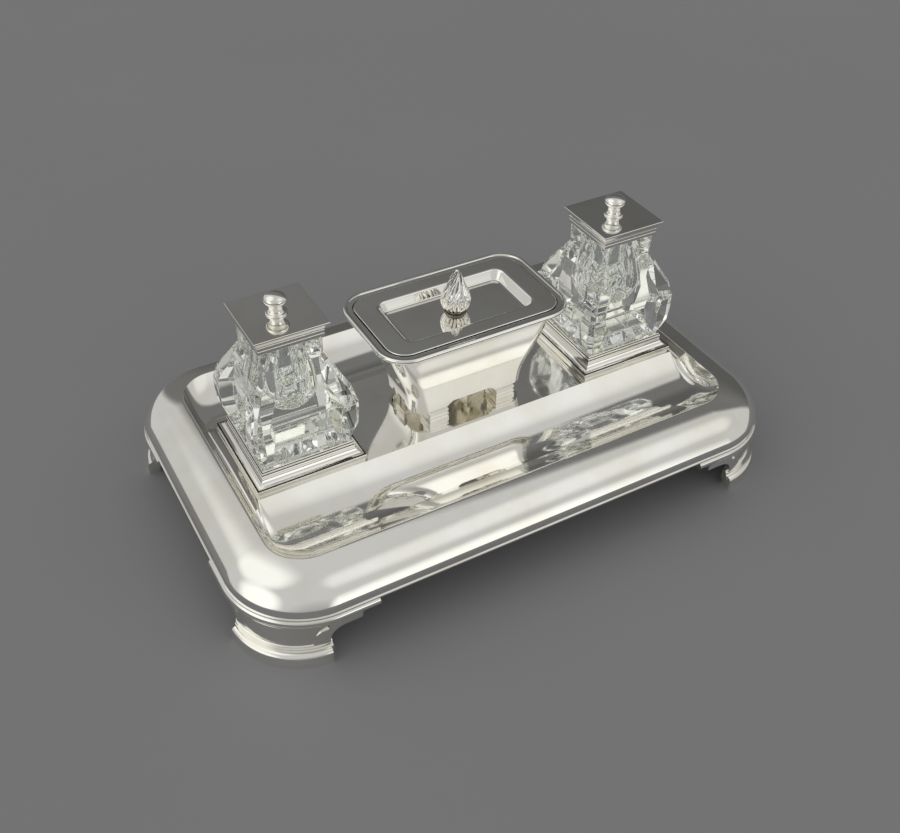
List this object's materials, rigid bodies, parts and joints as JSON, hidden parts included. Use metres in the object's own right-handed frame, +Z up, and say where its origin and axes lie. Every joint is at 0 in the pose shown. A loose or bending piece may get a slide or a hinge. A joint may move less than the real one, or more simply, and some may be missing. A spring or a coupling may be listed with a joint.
{
  "type": "desk inkstand",
  "caption": "Silver desk inkstand: a domed, footed tray with pen troughs, square cut-glass ink bottles in galleries and a central lidded box with a flame finial",
  "frame": {"origin": "the middle of the tray, on the desk surface under the feet", "axes": "+X along the long side to the viewer's right, +Y to the back, +Z up"},
  "size_m": [0.335, 0.2128, 0.1498],
  "materials": {
    "silver": "polished",
    "brass_nut": "polished",
    "glass": "gloss"
  },
  "bodies": {
    "tray": {"tray_border": "silver", "tray_well": "silver", "foot_front_left": "silver", "foot_front_right": "silver", "foot_back_left": "silver", "foot_back_right": "silver", "left_gallery": "silver", "right_gallery": "silver", "box_body": "silver", "box_rim": "silver", "box_foot_front_left": "silver", "box_foot_front_right": "silver", "box_foot_back_left": "silver", "box_foot_back_right": "silver"},
    "box_cover": {"box_lid": "silver", "finial_collar": "silver", "flame_finial": "silver", "finial_nut": "brass_nut"},
    "left_ink_bottle": {"left_bottle": "glass", "left_neck_collar": "silver"},
    "left_bottle_cover": {"left_lid_plate": "silver", "left_lid_skirt": "silver", "left_lid_spigot": "silver", "left_knob": "silver", "left_knob_nut": "brass_nut"},
    "right_ink_bottle": {"right_bottle": "glass", "right_neck_collar": "silver"},
    "right_bottle_cover": {"right_lid_plate": "silver", "right_lid_skirt": "silver", "right_lid_spigot": "silver", "right_knob": "silver", "right_knob_nut": "brass_nut"}
  },
  "joints": [
    {"name": "box_cover_lift", "type": "slide", "parent": "tray", "child": "box_cover", "axis": [0, 0, 1], "range_m": [0, 0.03]},
    {"name": "left_bottle_lift", "type": "slide", "parent": "tray", "child": "left_ink_bottle", "axis": [0, 0, 1], "range_m": [0, 0.03]},
    {"name": "left_cover_lift", "type": "slide", "parent": "left_ink_bottle", "child": "left_bottle_cover", "axis": [0, 0, 1], "range_m": [0, 0.02]},
    {"name": "right_bottle_lift", "type": "slide", "parent": "tray", "child": "right_ink_bottle", "axis": [0, 0, 1], "range_m": [0, 0.03]},
    {"name": "right_cover_lift", "type": "slide", "parent": "right_ink_bottle", "child": "right_bottle_cover", "axis": [0, 0, 1], "range_m": [0, 0.02]}
  ]
}
